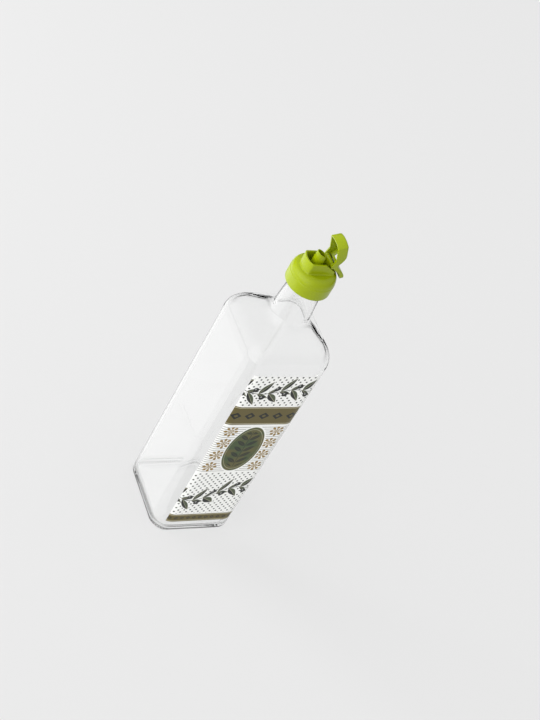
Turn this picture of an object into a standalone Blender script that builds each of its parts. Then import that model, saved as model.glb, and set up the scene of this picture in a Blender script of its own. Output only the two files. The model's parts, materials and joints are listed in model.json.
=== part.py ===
"""Square glass oil dispenser bottle with a rubber stopper and a green flip-top pourer cap.

The bottle stands on z = 0 with its axis on z. The decorated face is the one at -y.
The cap pours towards -x and its lid hinges at +x. The lid is modelled open.
"""

import math

import bmesh
import bpy
from mathutils import Matrix, Vector

MM = 0.001
NAME = "glass_oil_dispenser"

# Glass body, a square with round corners
BODY_HALF = 37.5 * MM
BODY_CORNER = 14.0 * MM
GLASS_WALL = 2.8 * MM
GLASS_HEIGHT = 285.0 * MM
HEEL = 3.2 * MM
BEARING_OUTER = 35.0 * MM
BEARING_INNER = 31.4 * MM
PUSH_UP = 2.2 * MM
PUSH_UP_HALF = 17.0 * MM
FLOOR_HEIGHT = 3.6 * MM
FLOOR_RISE = 1.6 * MM
INNER_HEEL = 3.8 * MM

# Shoulder: an arc out of the wall, a slope, and an arc into the neck
SHOULDER_START = 210.8 * MM
SHOULDER_ARC = 20.2 * MM
SHOULDER_SLOPE = math.radians(36.3)
NECK_ARC = 11.8 * MM
NECK_FOOT_RADIUS = 15.7 * MM
CORNER_PINCH = 2.0 * MM

# Neck and finish
NECK_TOP_RADIUS = 13.8 * MM
NECK_TOP = 269.2 * MM
BORE_RADIUS = 11.5 * MM
BORE_LENGTH = 22.0 * MM
FINISH_FOOT_RADIUS = 15.0 * MM
FINISH_RADIUS = 16.1 * MM
LIP_ROUND = 1.3 * MM
BORE_ROUND = 0.8 * MM

# Rubber stopper, pressed into the bore up to its flange
STOPPER_GAP = 0.3 * MM
FLANGE_RADIUS = 13.9 * MM
FLANGE_THICK = 1.8 * MM
STOPPER_LENGTH = 13.0 * MM
RIB_RADIUS = 11.15 * MM
STEM_RADIUS = 10.2 * MM
RIBS = 3
RECESS_RADIUS = 8.3 * MM
RECESS_DEPTH = 4.5 * MM

# Cap shell, measured up from the skirt's lower edge
CAP_FOOT = 271.2 * MM
SKIRT_RADIUS = 18.6 * MM
SKIRT_HEIGHT = 10.2 * MM
SKIRT_WALL = 1.5 * MM
DOME_TOP = 17.6 * MM
DOME_TOP_RADIUS = 14.0 * MM
DOME_DEPTH = 6.4 * MM
CEILING = 16.2 * MM
CEILING_RADIUS = 14.2 * MM
BAND_STEP = 0.2 * MM

# Collar round the spout: a round wall with two flats, cut down towards the hinge
COLLAR_RADIUS = 13.5 * MM
COLLAR_FLAT = 8.1 * MM
COLLAR_WALL = 1.4 * MM
COLLAR_TOP = 27.0 * MM
SLANT_START = 1.0 * MM
SLANT_END = 9.0 * MM
SLANT_LOW = 21.9 * MM
BACK_LOW = 19.5 * MM

# Spout, tapered and cut so that its pouring lip is the high side
SPOUT_X = -2.6 * MM
SPOUT_FOOT_RADIUS = 5.1 * MM
SPOUT_TOP_RADIUS = 4.15 * MM
SPOUT_TOP = 32.3 * MM
SPOUT_BORE = 3.1 * MM
SPOUT_CUT = math.radians(20)

# Hinge between the cap and the lid
HINGE_X = 7.5 * MM
HINGE_Z = 25.4 * MM
HINGE_RADIUS = 1.8 * MM
KNUCKLE_HALF = 4.2 * MM
PIN_RADIUS = 0.85 * MM
PIN_CLEAR = 0.35 * MM
PIN_DEPTH = 1.2 * MM
PART_GAP = 0.3 * MM
OPEN_ANGLE = math.radians(70)

# Lid, measured from the hinge axis when shut: along towards the pouring side, and up
LID_RADIUS = 14.0 * MM
LID_HALF = 7.7 * MM
LID_WALL = 1.2 * MM
LID_RIM = 1.9 * MM
LID_TOP = 10.3 * MM
TAIL_LENGTH = 16.2 * MM
TAIL_CORNER = 3.0 * MM
PLUG_RADIUS = 2.6 * MM
PLUG_LENGTH = 2.3 * MM
SLOT_HALF = 2.8 * MM
SLOT_START = 0.4 * MM
SLOT_END = 3.4 * MM

SEGMENTS = 48
FINE_SEGMENTS = 32

GLASS = ("clear_glass", (0.82, 0.86, 0.85, 1.0), 0.04)
RUBBER = ("black_rubber", (0.02, 0.02, 0.021, 1.0), 0.55)
LIME = ("lime_plastic", (0.36, 0.52, 0.0, 1.0), 0.3)


def clear_scene():
    for obj in list(bpy.data.objects):
        bpy.data.objects.remove(obj, do_unlink=True)


def material(name, colour, roughness):
    made = bpy.data.materials.new(name)
    made.use_nodes = True
    shader = made.node_tree.nodes["Principled BSDF"]
    shader.inputs["Base Color"].default_value = colour
    shader.inputs["Roughness"].default_value = roughness
    if name == GLASS[0]:
        shader.inputs["Transmission Weight"].default_value = 1.0
    made.diffuse_color = colour
    return made


def new_collection(name):
    made = bpy.data.collections.new(name)
    bpy.context.scene.collection.children.link(made)
    return made


def add_object(name, mesh, collection):
    obj = bpy.data.objects.new(name, mesh)
    collection.objects.link(obj)
    return obj


def arc(centre, radius, start, end, steps):
    """Points on an arc about centre, with angles in degrees, both ends included."""
    points = []
    for step in range(steps + 1):
        angle = math.radians(start + (end - start) * step / steps)
        points.append((centre[0] + radius * math.cos(angle), centre[1] + radius * math.sin(angle)))
    return points


# Glass bottle

def ring_angles():
    """Polar angles of one quarter of a body ring, closest together on the round corner."""
    straight = BODY_HALF - BODY_CORNER
    corner_start = math.atan2(straight, BODY_HALF)
    corner_steps = 6
    flat_steps = 3
    flat = [corner_start * step / flat_steps for step in range(flat_steps)]
    span = math.pi / 2 - 2 * corner_start
    corner = [corner_start + span * step / corner_steps for step in range(corner_steps + 1)]
    after = [math.pi / 2 - corner_start * step / flat_steps for step in (2, 1)]
    return flat + corner + after


def square_radius(half, corner, angle):
    """Distance from the axis to a square with round corners, for an angle in the first quarter."""
    angle = min(angle, math.pi / 2 - angle)
    straight = half - corner
    if half * math.tan(angle) <= straight:
        return half / math.cos(angle)
    along = straight * (math.cos(angle) + math.sin(angle))
    return along + math.sqrt(max(along * along - 2 * straight * straight + corner * corner, 0.0))


def square_ring(half, corner, height):
    ring = []
    for quarter in range(4):
        for angle in ring_angles():
            distance = square_radius(half, min(corner, half), angle)
            turned = angle + quarter * math.pi / 2
            ring.append((distance * math.cos(turned), distance * math.sin(turned), height))
    return ring


def shoulder_profile(wall, steps):
    """(half width, corner radius, height) from the body wall up to the neck, wall inside the glass."""
    lean = math.pi / 2 - SHOULDER_SLOPE
    body_centre = (BODY_HALF - SHOULDER_ARC, SHOULDER_START)
    outer_end = (
        body_centre[0] + SHOULDER_ARC * math.cos(lean),
        body_centre[1] + SHOULDER_ARC * math.sin(lean),
    )
    neck_drop = NECK_ARC * (1 - math.cos(lean))
    slope_run = outer_end[0] - (NECK_FOOT_RADIUS + neck_drop)
    slope_top = outer_end[1] + slope_run * math.tan(SHOULDER_SLOPE)
    neck_centre = (NECK_FOOT_RADIUS + NECK_ARC, slope_top + NECK_ARC * math.sin(lean))
    profile = []
    for step in range(steps + 1):
        angle = lean * step / steps
        profile.append((body_centre, SHOULDER_ARC, math.cos(angle), math.sin(angle), -1))
    for step in range(steps + 1):
        angle = lean * (1 - step / steps)
        profile.append((neck_centre, NECK_ARC, -math.cos(angle), -math.sin(angle), 1))
    rings = []
    for centre, radius, across, up, side in profile:
        outer = centre[0] + radius * across
        share = (outer - NECK_FOOT_RADIUS) / (BODY_HALF - NECK_FOOT_RADIUS)
        corner = NECK_FOOT_RADIUS + (BODY_CORNER - NECK_FOOT_RADIUS) * share
        corner -= 4 * CORNER_PINCH * share * (1 - share)
        reach = radius + side * wall
        rings.append((centre[0] + reach * across, corner - wall, centre[1] + reach * up))
    return rings


def base_rings():
    """The push-up under the base, the flat bearing ring and the round heel, from the middle out."""
    dome = []
    for share in (0.0, 0.45, 0.8, 1.0):
        half = PUSH_UP_HALF + (BEARING_INNER - PUSH_UP_HALF) * share
        dome.append((half, half * BODY_CORNER / BODY_HALF, PUSH_UP * (1 - share ** 2)))
    bearing_corner = BODY_CORNER - (BODY_HALF - BEARING_OUTER)
    dome.append((BEARING_OUTER, bearing_corner, 0.0))
    heel_width = BODY_HALF - BEARING_OUTER
    for degrees in (30, 60, 90):
        turn = math.radians(degrees)
        half = BEARING_OUTER + heel_width * math.sin(turn)
        dome.append((half, BODY_CORNER - (BODY_HALF - half), HEEL * (1 - math.cos(turn))))
    return dome


def finish_rings():
    """Neck, finish and lip outside, then the bore, as round rings from the shoulder up and in again."""
    outline = [
        (NECK_TOP_RADIUS, NECK_TOP),
        (FINISH_FOOT_RADIUS - 0.5 * MM, NECK_TOP + 0.9 * MM),
        (FINISH_FOOT_RADIUS, NECK_TOP + 2.2 * MM),
        (FINISH_RADIUS - 0.4 * MM, GLASS_HEIGHT - 9.0 * MM),
        (FINISH_RADIUS, GLASS_HEIGHT - 5.0 * MM),
    ]
    outline += arc((FINISH_RADIUS - LIP_ROUND, GLASS_HEIGHT - LIP_ROUND), LIP_ROUND, 0, 90, 3)
    bore_centre = (BORE_RADIUS + BORE_ROUND, GLASS_HEIGHT - BORE_ROUND)
    outline += arc(bore_centre, BORE_ROUND, 90, 180, 3)
    outline.append((BORE_RADIUS, GLASS_HEIGHT - BORE_LENGTH))
    return [(radius, radius, height) for radius, height in outline]


def floor_rings():
    """Inside of the body wall, its round foot and the floor, from the wall in to the middle."""
    inner = BODY_HALF - GLASS_WALL
    corner = BODY_CORNER - GLASS_WALL
    rings = []
    for degrees in (0, 30, 60, 90):
        turn = math.radians(degrees)
        half = inner - INNER_HEEL * (1 - math.cos(turn))
        height = FLOOR_HEIGHT + INNER_HEEL * (1 - math.sin(turn))
        rings.append((half, max(corner - (inner - half), 0.3 * half), height))
    rings.append((PUSH_UP_HALF, PUSH_UP_HALF * BODY_CORNER / BODY_HALF, FLOOR_HEIGHT + FLOOR_RISE))
    return rings


def glass_bottle(collection):
    """One loft through every ring: base, body, shoulder, neck and lip, then back down inside."""
    rings = base_rings()
    rings += shoulder_profile(0.0, 5)
    rings += finish_rings()
    rings += reversed(shoulder_profile(GLASS_WALL, 5))
    rings += floor_rings()
    shape = bmesh.new()
    loops = [[shape.verts.new(point) for point in square_ring(*ring)] for ring in rings]
    count = len(loops[0])
    for lower, upper in zip(loops, loops[1:]):
        for i in range(count):
            j = (i + 1) % count
            shape.faces.new((lower[i], lower[j], upper[j], upper[i]))
    shape.faces.new(list(reversed(loops[0])))
    shape.faces.new(loops[-1])
    mesh = bpy.data.meshes.new("glass_bottle")
    shape.to_mesh(mesh)
    shape.free()
    return add_object("glass_bottle", mesh, collection)


# Turned and flat shapes

def turned(name, profile, collection, segments=SEGMENTS):
    """An object turned about z from a profile that runs down its outer side, placed by its location."""
    mesh = bpy.data.meshes.new(name)
    edges = [(i, i + 1) for i in range(len(profile) - 1)]
    mesh.from_pydata([(radius, 0.0, height) for radius, height in profile], edges, [])
    obj = add_object(name, mesh, collection)
    screw = obj.modifiers.new("turn", "SCREW")
    screw.axis = "Z"
    screw.angle = math.tau
    screw.steps = segments
    screw.render_steps = segments
    screw.use_merge_vertices = True
    screw.merge_threshold = 0.00002
    screw.use_normal_calculate = True
    return obj


def plate(name, outline, thickness, collection):
    """A flat outline in x and y made a solid of this thickness, half of it each side of z = 0."""
    curve = bpy.data.curves.new(name, "CURVE")
    curve.dimensions = "2D"
    curve.fill_mode = "BOTH"
    curve.extrude = thickness / 2
    spline = curve.splines.new("POLY")
    spline.points.add(len(outline) - 1)
    for point, (x, y) in zip(spline.points, outline):
        point.co = (x, y, 0.0, 1.0)
    spline.use_cyclic_u = True
    guide = add_object(name + "_outline", curve, collection)
    bpy.context.view_layer.update()
    evaluated = guide.evaluated_get(bpy.context.evaluated_depsgraph_get())
    mesh = bpy.data.meshes.new_from_object(evaluated)
    weld(mesh)
    solid = add_object(name, mesh, collection)
    solid.matrix_world = guide.matrix_world
    bpy.data.objects.remove(guide, do_unlink=True)
    return solid


def weld(mesh):
    shape = bmesh.new()
    shape.from_mesh(mesh)
    bmesh.ops.remove_doubles(shape, verts=shape.verts, dist=0.000005)
    bmesh.ops.recalc_face_normals(shape, faces=shape.faces)
    shape.to_mesh(mesh)
    shape.free()


def cylinder(name, radius, top_radius, length, matrix, collection, segments=FINE_SEGMENTS):
    """A cylinder or cone along z, centred, put where the matrix says."""
    shape = bmesh.new()
    bmesh.ops.create_cone(
        shape,
        cap_ends=True,
        segments=segments,
        radius1=radius,
        radius2=top_radius,
        depth=length,
        matrix=matrix,
    )
    mesh = bpy.data.meshes.new(name)
    shape.to_mesh(mesh)
    shape.free()
    return add_object(name, mesh, collection)


def box(name, low, high, collection):
    size = [b - a for a, b in zip(low, high)]
    middle = [(a + b) / 2 for a, b in zip(low, high)]
    shape = bmesh.new()
    matrix = Matrix.Translation(middle) @ Matrix.Diagonal((*size, 1.0))
    bmesh.ops.create_cube(shape, size=1.0, matrix=matrix)
    mesh = bpy.data.meshes.new(name)
    shape.to_mesh(mesh)
    shape.free()
    return add_object(name, mesh, collection)


def move(obj, matrix):
    obj.data.transform(matrix)
    return obj


def side_matrix(x=0.0, z=0.0):
    """Turns a plate drawn in x and y so that its y points up z, and its thickness lies along y."""
    return Matrix.Translation((x, 0.0, z)) @ Matrix.Rotation(math.pi / 2, 4, "X")


def combine(obj, other, operation):
    """A live Boolean on obj, with other kept as its cutter."""
    change = obj.modifiers.new(other.name, "BOOLEAN")
    change.operation = operation
    change.solver = "EXACT"
    change.object = other
    hide_cutter(other)


def hide_cutter(obj):
    obj.hide_render = True
    obj.display_type = "WIRE"


# Rubber stopper

def rubber_stopper(collection):
    """Flange with a round recess on top, and a ribbed stem below."""
    seat = GLASS_HEIGHT + STOPPER_GAP
    top = seat + FLANGE_THICK
    profile = [
        (0.0, top - RECESS_DEPTH),
        (RECESS_RADIUS - 0.6 * MM, top - RECESS_DEPTH),
        (RECESS_RADIUS, top - 0.5 * MM),
        (RECESS_RADIUS + 0.5 * MM, top),
        (FLANGE_RADIUS - 0.5 * MM, top),
        (FLANGE_RADIUS, top - 0.5 * MM),
        (FLANGE_RADIUS, seat + 0.4 * MM),
        (FLANGE_RADIUS - 0.4 * MM, seat),
        (STEM_RADIUS, seat),
    ]
    pitch = STOPPER_LENGTH / RIBS
    for rib in range(RIBS):
        start = seat - rib * pitch
        profile += [
            (STEM_RADIUS, start - 0.35 * pitch),
            (RIB_RADIUS - 0.3 * MM, start - 0.55 * pitch),
            (RIB_RADIUS, start - 0.68 * pitch),
            (RIB_RADIUS - 0.25 * MM, start - 0.85 * pitch),
        ]
        if rib < RIBS - 1:
            profile.append((STEM_RADIUS, start - pitch))
    bottom = seat - STOPPER_LENGTH
    profile += [(STEM_RADIUS - 0.4 * MM, bottom), (0.0, bottom)]
    return turned("rubber_stopper", profile, collection, 40)


# Pourer cap

def shell_profile():
    """Floor of the collar, dome and skirt outside, then up the inside to the ceiling."""
    rise = DOME_TOP - SKIRT_HEIGHT
    outside = [(0.0, DOME_TOP), (DOME_TOP_RADIUS, DOME_TOP)]
    for degrees in (68, 50, 33, 17, 0):
        turn = math.radians(degrees)
        radius = DOME_TOP_RADIUS + (SKIRT_RADIUS - BAND_STEP - DOME_TOP_RADIUS) * math.cos(turn)
        outside.append((radius, DOME_TOP - rise + DOME_DEPTH * math.sin(turn) + 0.4 * MM))
    outside += [
        (SKIRT_RADIUS - BAND_STEP, SKIRT_HEIGHT + 0.15 * MM),
        (SKIRT_RADIUS, SKIRT_HEIGHT),
        (SKIRT_RADIUS, 0.4 * MM),
        (SKIRT_RADIUS - 0.4 * MM, 0.0),
    ]
    inner = SKIRT_RADIUS - SKIRT_WALL
    inside = [
        (inner, 0.0),
        (inner, SKIRT_HEIGHT + 1.2 * MM),
        (inner - 0.5 * MM, SKIRT_HEIGHT + 3.4 * MM),
        (inner - 1.6 * MM, SKIRT_HEIGHT + 5.1 * MM),
        (CEILING_RADIUS, CEILING),
        (0.0, CEILING),
    ]
    return outside + inside


def flatted_circle(radius, flat, segments=9):
    """A circle about the axis with two flats, at y = flat and y = -flat."""
    half_turn = math.degrees(math.asin(flat / radius))
    right = arc((0.0, 0.0), radius, -half_turn, half_turn, segments)
    left = arc((0.0, 0.0), radius, 180 - half_turn, 180 + half_turn, segments)
    return right + left


def collar(collection, cutters):
    """The walls round the spout, with the slanted cut that lets the lid swing back."""
    foot = CEILING + 0.6 * MM
    height = COLLAR_TOP - foot
    place = Matrix.Translation((0.0, 0.0, foot + height / 2))
    wall = plate("collar", flatted_circle(COLLAR_RADIUS, COLLAR_FLAT), height, cutters)
    move(wall, place)
    inner = flatted_circle(COLLAR_RADIUS - COLLAR_WALL, COLLAR_FLAT - COLLAR_WALL)
    hollow = move(plate("collar_hollow", inner, height * 1.5, cutters), place)
    reach = SKIRT_RADIUS
    above = COLLAR_TOP - SLANT_LOW
    start = 2 * SLANT_START - SLANT_END
    cut = [
        (start, COLLAR_TOP + above),
        (SLANT_END, SLANT_LOW),
        (COLLAR_RADIUS, BACK_LOW),
        (reach, BACK_LOW),
        (reach, COLLAR_TOP + above),
    ]
    slant = move(plate("collar_slant", cut, 2 * SKIRT_RADIUS, cutters), side_matrix())
    combine(wall, hollow, "DIFFERENCE")
    combine(wall, slant, "DIFFERENCE")
    return wall


def spout(cutters):
    """The tapered tube, with its slanted top."""
    foot = CEILING + 0.6 * MM
    rise = SPOUT_TOP_RADIUS * math.tan(SPOUT_CUT)
    length = SPOUT_TOP + rise + 1.0 * MM - foot
    middle = Matrix.Translation((SPOUT_X, 0.0, foot + length / 2))
    tube = cylinder("spout", SPOUT_FOOT_RADIUS, SPOUT_TOP_RADIUS, length, middle, cutters)
    top = box("spout_top", (-0.02, -0.02, 0.0), (0.02, 0.02, 0.02), cutters)
    tilt = Matrix.Rotation(SPOUT_CUT, 4, "Y")
    move(top, Matrix.Translation((SPOUT_X, 0.0, SPOUT_TOP)) @ tilt)
    combine(tube, top, "DIFFERENCE")
    return tube


def knuckle(cutters):
    """The middle of the hinge, a round-topped post between the lid's two ears."""
    outline = arc((0.0, 0.0), HINGE_RADIUS, 0, 180, 10)
    depth = HINGE_Z - CEILING - 0.6 * MM
    outline += [(-HINGE_RADIUS, -depth), (HINGE_RADIUS, -depth)]
    post = plate("knuckle", outline, 2 * KNUCKLE_HALF, cutters)
    move(post, side_matrix(HINGE_X, HINGE_Z))
    along_y = Matrix.Translation((HINGE_X, 0.0, HINGE_Z)) @ Matrix.Rotation(math.pi / 2, 4, "X")
    hole_radius = PIN_RADIUS + PIN_CLEAR
    for side in (-1, 1):
        depth = PIN_DEPTH + PIN_CLEAR
        end = side * KNUCKLE_HALF
        offset = Matrix.Translation((0.0, end, 0.0)) @ along_y
        hole = cylinder("pin_hole", hole_radius, hole_radius, 2 * depth, offset, cutters, 16)
        combine(post, hole, "DIFFERENCE")
    return post


def pourer_cap(collection, cutters):
    """Turned shell with the collar, the spout and the hinge post joined on, and the spout's bore."""
    shell = turned("pourer_cap", shell_profile(), collection)
    for piece in (collar(collection, cutters), spout(cutters), knuckle(cutters)):
        combine(shell, piece, "UNION")
    middle = Matrix.Translation((SPOUT_X, 0.0, (CEILING + SPOUT_TOP) / 2))
    bore = cylinder("spout_bore", SPOUT_BORE, SPOUT_BORE, SPOUT_TOP, middle, cutters)
    combine(shell, bore, "DIFFERENCE")
    return shell


# Flip lid, drawn shut about the hinge axis, with x towards the hinge side

def lid_top_line(drop):
    """Top of the lid from the pouring side over the hinge to the end of the tail, as (x, z)."""
    hood = LID_TOP - drop
    points = [(-LID_RADIUS - 2 * HINGE_X, hood), (-9.4 * MM, hood)]
    for share in (0.25, 0.5, 0.75, 1.0):
        x = -9.4 * MM + 9.6 * MM * share
        dip = (LID_TOP - 4.1 * MM) * (1 - math.cos(share * math.pi / 2)) ** 1.15
        points.append((x, hood - dip))
    points += [
        (3.0 * MM, 5.0 * MM - drop),
        (8.0 * MM, 8.0 * MM - drop),
        (12.5 * MM, 9.9 * MM - drop),
        (TAIL_LENGTH + 2.0 * MM, 10.8 * MM - drop),
    ]
    return points


def lid_side_outline():
    """Side view of the whole lid: its top line, the tail's lower edge, the ear and the rim."""
    slope = math.atan2(COLLAR_TOP - SLANT_LOW, SLANT_END - SLANT_START)
    ear_end = -math.degrees(slope) - 90
    low = [
        (TAIL_LENGTH + 2.0 * MM, 7.4 * MM),
        (12.5 * MM, 6.6 * MM),
        (8.0 * MM, 4.7 * MM),
        (4.0 * MM, 1.5 * MM),
    ]
    low += arc((0.0, 0.0), HINGE_RADIUS, 10, ear_end, 8)
    run = (LID_RIM - low[-1][1]) / math.tan(slope)
    rim_start = low[-1][0] - run
    rim = [(rim_start, LID_RIM), (-LID_RADIUS - 2 * HINGE_X, LID_RIM)]
    return lid_top_line(0.0) + low + rim


def lid_plan(radius, half, tail, corner):
    """Outline from above: round over the pouring side, straight sides, a square tail with soft corners."""
    half_turn = math.degrees(math.asin(half / radius))
    front = arc((-HINGE_X, 0.0), radius, 180 - half_turn, 180 + half_turn, 12)
    near = arc((tail - corner, corner - half), corner, -90, 0, 4)
    far = arc((tail - corner, half - corner), corner, 0, 90, 4)
    return front + near + far


def lid_hollow(cutters):
    """What is taken out under the lid's top, so that a wall is left all round."""
    inner = lid_plan(
        LID_RADIUS - LID_WALL,
        LID_HALF - LID_WALL,
        TAIL_LENGTH - LID_WALL,
        TAIL_CORNER - LID_WALL,
    )
    hollow = plate("lid_hollow", inner, 40 * MM, cutters)
    under = lid_top_line(LID_WALL)
    below = -20 * MM
    under += [(under[-1][0], below), (under[0][0], below)]
    room = move(plate("lid_room", under, 40 * MM, cutters), side_matrix())
    combine(hollow, room, "INTERSECT")
    return hollow


def flip_lid(collection, cutters):
    side = move(plate("flip_lid", lid_side_outline(), 2.5 * LID_HALF, collection), side_matrix())
    plan = lid_plan(LID_RADIUS, LID_HALF, TAIL_LENGTH, TAIL_CORNER)
    combine(side, plate("lid_plan", plan, 60 * MM, cutters), "INTERSECT")
    combine(side, lid_hollow(cutters), "DIFFERENCE")
    along_y = Matrix.Rotation(math.pi / 2, 4, "X")
    ear_start = KNUCKLE_HALF + PART_GAP
    for sign in (-1, 1):
        length = LID_HALF - ear_start
        middle = Matrix.Translation((0.0, sign * (ear_start + length / 2), 0.0)) @ along_y
        ear = cylinder("lid_ear", HINGE_RADIUS, HINGE_RADIUS, length, middle, cutters, 24)
        combine(side, ear, "UNION")
        reach = PIN_DEPTH + length / 2
        start = ear_start - PIN_DEPTH
        middle = Matrix.Translation((0.0, sign * (start + reach / 2), 0.0)) @ along_y
        pin = cylinder("lid_pin", PIN_RADIUS, PIN_RADIUS, reach, middle, cutters, 16)
        combine(side, pin, "UNION")
    plug_x = SPOUT_X - HINGE_X
    middle = Matrix.Translation((plug_x, 0.0, LID_TOP - LID_WALL / 2 - PLUG_LENGTH / 2))
    plug = cylinder("lid_plug", PLUG_RADIUS, PLUG_RADIUS, PLUG_LENGTH + LID_WALL / 2, middle, cutters)
    combine(side, plug, "UNION")
    slot = box(
        "lid_slot",
        (-SLOT_END, -SLOT_HALF, HINGE_RADIUS),
        (-SLOT_START, SLOT_HALF, LID_TOP),
        cutters,
    )
    combine(side, slot, "DIFFERENCE")
    return side


def finish_object(obj, look, parent):
    obj.data.materials.append(look)
    obj.data.shade_smooth()
    obj.data.set_sharp_from_angle(angle=math.radians(35))
    obj.parent = parent


def main():
    clear_scene()
    parts = new_collection(NAME)
    cutters = new_collection("cutters")
    root = add_object("dispenser", None, parts)
    cap_frame = add_object("cap_frame", None, parts)
    cap_frame.location = (0.0, 0.0, CAP_FOOT)
    cap_frame.parent = root
    hinge = add_object("lid_hinge", None, parts)
    hinge.location = (HINGE_X, 0.0, HINGE_Z)
    hinge.rotation_euler = (0.0, OPEN_ANGLE, 0.0)
    hinge.parent = cap_frame
    glass, rubber, lime = (material(*look) for look in (GLASS, RUBBER, LIME))
    finish_object(glass_bottle(parts), glass, root)
    finish_object(rubber_stopper(parts), rubber, root)
    finish_object(pourer_cap(parts, cutters), lime, cap_frame)
    finish_object(flip_lid(parts, cutters), lime, hinge)
    for cutter in cutters.objects:
        hide_cutter(cutter)
        cutter.parent = hinge if cutter.name.startswith("lid") else cap_frame


main()
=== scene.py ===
"""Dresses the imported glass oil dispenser: glass, printed panel, rubber stopper and green pourer cap."""

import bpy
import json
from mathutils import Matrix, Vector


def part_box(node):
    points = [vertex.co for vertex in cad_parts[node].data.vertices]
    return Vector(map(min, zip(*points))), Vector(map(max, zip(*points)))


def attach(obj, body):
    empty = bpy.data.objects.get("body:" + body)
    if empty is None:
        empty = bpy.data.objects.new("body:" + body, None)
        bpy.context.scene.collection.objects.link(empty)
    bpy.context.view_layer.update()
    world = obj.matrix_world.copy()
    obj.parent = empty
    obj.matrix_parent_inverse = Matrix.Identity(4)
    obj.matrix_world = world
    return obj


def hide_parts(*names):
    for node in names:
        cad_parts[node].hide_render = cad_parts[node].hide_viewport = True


bl_info = {
    "name": "Glass Oil Dispenser",
    "version": (1, 0, 0),
    "blender": (4, 5, 0),
    "location": "View3D > Sidebar > Dispenser",
    "description": "Builds a square glass oil bottle with its stopper, pourer cap and studio stage",
    "category": "Add Mesh",
}

import json
import math

import bmesh
import bpy
from bpy.props import FloatProperty, FloatVectorProperty, IntProperty, PointerProperty
from bpy.types import Operator, Panel, PropertyGroup
from mathutils import Matrix, Vector

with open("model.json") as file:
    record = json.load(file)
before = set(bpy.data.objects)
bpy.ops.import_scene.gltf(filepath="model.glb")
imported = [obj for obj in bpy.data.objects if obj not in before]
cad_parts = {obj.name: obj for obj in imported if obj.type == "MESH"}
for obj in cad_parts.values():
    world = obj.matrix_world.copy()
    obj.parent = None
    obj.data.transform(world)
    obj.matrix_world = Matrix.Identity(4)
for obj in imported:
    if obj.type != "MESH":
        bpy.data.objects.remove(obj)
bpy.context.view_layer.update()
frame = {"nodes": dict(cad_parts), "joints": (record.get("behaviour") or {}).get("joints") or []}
GLASS_LOW, GLASS_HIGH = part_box("glass_bottle")
STOPPER_LOW, STOPPER_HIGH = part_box("rubber_stopper")
CAP_LOW, CAP_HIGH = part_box("pourer_cap")
HINGE = next(joint for joint in frame["joints"] if joint["name"] == "lid_hinge")

MM = 0.001
FULL_TURN = math.tau

# Heights in the glass at which a straight part ends
NECK_FOOT = 246.5 * MM
INNER_NECK_FOOT = 247.0 * MM
INNER_WALL_END = 207.8 * MM
# A ray that has met more surfaces than this is trapped in the glass
MANY_SURFACES = 8.5
# Where the half-moon mark stands on the finish, as a turn from the +X side
MARK_TURN = math.radians(-131)
# Share of the floor's radius at which it begins to fade
FADE_START = 0.7
LAMP_CARD = {"place": (-0.37, 0.34, 0.001), "target": (-0.37, 0.34, 1.0), "size": (0.65, 0.78), "power": 1.6}
LAMP_SIDE = {"place": (-1.08, 0.99, 0.55), "target": (0.0, 0.0, 0.28), "size": (0.8, 0.8), "power": 13.0}
# What the camera looks at, then how far right of it and above it the picture's middle is
CAMERA_TARGET = (0.0, 0.0, 0.150)
CAMERA_SHIFT = (0.0198, 0.0200)
CAMERA_LENS = 76.685
CAMERA_SENSOR = 36.0


def length(name, millimetres, description):
    return FloatProperty(
        name=name,
        description=description,
        default=millimetres * MM,
        min=0.0,
        precision=5,
        unit="LENGTH",
    )


def incline(name, degrees, description):
    return FloatProperty(
        name=name,
        description=description,
        default=math.radians(degrees),
        subtype="ANGLE",
    )


def tint(name, colour, description):
    return FloatVectorProperty(
        name=name,
        description=description,
        default=colour,
        size=3,
        min=0.0,
        max=1.0,
        subtype="COLOR",
    )


class DispenserGlass(PropertyGroup):
    half: length("Half width", GLASS_HIGH.x / MM, "Half of the body's width across its flats")
    corner: length("Corner radius", 14.0, "Radius of the body's upright corners")
    height: length("Height", GLASS_HIGH.z / MM, "Height of the glass to its lip")
    wall: length("Wall", 2.8, "Thickness of the glass")
    heel: length("Heel", 3.2, "Height of the round heel")
    bearing_outer: length("Bearing outside", 35.0, "Half width of the bearing ring, outside")
    bearing_inner: length("Bearing inside", 31.4, "Half width of the bearing ring, inside")
    push_up: length("Push-up", 2.2, "Height of the hollow under the base")
    push_up_half: length("Push-up flat", 17.0, "Half width of the hollow's flat middle")
    floor: length("Floor", 3.6, "Height of the inner floor at its edge")
    floor_rise: length("Floor rise", 1.6, "How much higher the inner floor is in the middle")
    inner_heel: length("Inner heel", 3.8, "Radius between the inner wall and the floor")
    shoulder: length("Shoulder start", 210.8, "Height at which the wall begins to curve in")
    shoulder_arc: length("Shoulder arc", 20.2, "Radius of the arc from the wall to the slope")
    neck_arc: length("Neck arc", 11.8, "Radius of the arc from the slope to the neck")
    neck_foot: length("Neck foot radius", 15.7, "Radius at the foot of the neck")
    neck_top: length("Neck top radius", 13.8, "Radius just under the finish")
    neck_end: length("Neck end", 269.2, "Height at which the finish begins")
    pinch: length("Corner pinch", 2.0, "How much tighter the shoulder's corners are")
    finish_foot: length("Finish foot radius", 15.0, "Radius at the foot of the finish")
    finish: length("Finish radius", 16.1, "Largest radius of the finish")
    bore: length("Bore radius", 11.5, "Radius of the mouth")
    bore_length: length("Bore length", 22.0, "Length of the straight mouth")
    tick: length("Knurl depth", 0.9, "Depth of the knurls in the bearing ring")
    slope: incline("Slope", 36.3, "Slope of the shoulder above level")
    points: IntProperty(
        name="Points a ring",
        description="Points in each ring of the glass",
        default=480,
        min=48,
    )
    colour: tint("Glass", (0.995, 0.997, 0.996), "Tint of the glass")


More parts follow.
